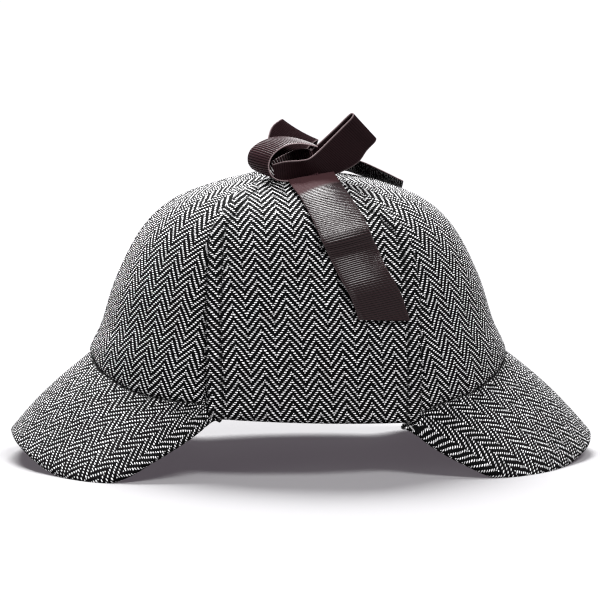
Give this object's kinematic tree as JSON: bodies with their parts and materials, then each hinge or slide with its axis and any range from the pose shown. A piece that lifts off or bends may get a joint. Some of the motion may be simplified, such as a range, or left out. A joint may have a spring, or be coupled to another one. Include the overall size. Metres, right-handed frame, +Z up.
{
  "type": "deerstalker hat",
  "caption": "Tweed deerstalker hat with a brim at front and back, its ear flaps folded up and tied over the crown with a ribbon bow.",
  "frame": {"origin": "on the floor that the brims rest on, under the middle of the hat", "axes": "+X towards the front brim, +Y towards the wearer's left, +Z up through the crown"},
  "size_m": [0.3044, 0.185, 0.1768],
  "materials": {
    "herringbone_tweed": "black and white herringbone twill, matt",
    "ribbon": "dark brown grosgrain, slight sheen"
  },
  "bodies": {
    "root": {"crown_panel_front_left": "herringbone_tweed", "crown_panel_side_left": "herringbone_tweed", "crown_panel_back_left": "herringbone_tweed", "crown_panel_front_right": "herringbone_tweed", "crown_panel_side_right": "herringbone_tweed", "crown_panel_back_right": "herringbone_tweed", "brim_front": "herringbone_tweed", "brim_back": "herringbone_tweed", "ear_flap_left": "herringbone_tweed", "ear_flap_right": "herringbone_tweed", "ribbon_knot": "ribbon", "ribbon_loop_back": "ribbon", "ribbon_loop_front": "ribbon", "ribbon_lead": "ribbon", "ribbon_tail_long": "ribbon", "ribbon_tail_short": "ribbon"}
  },
  "joints": []
}
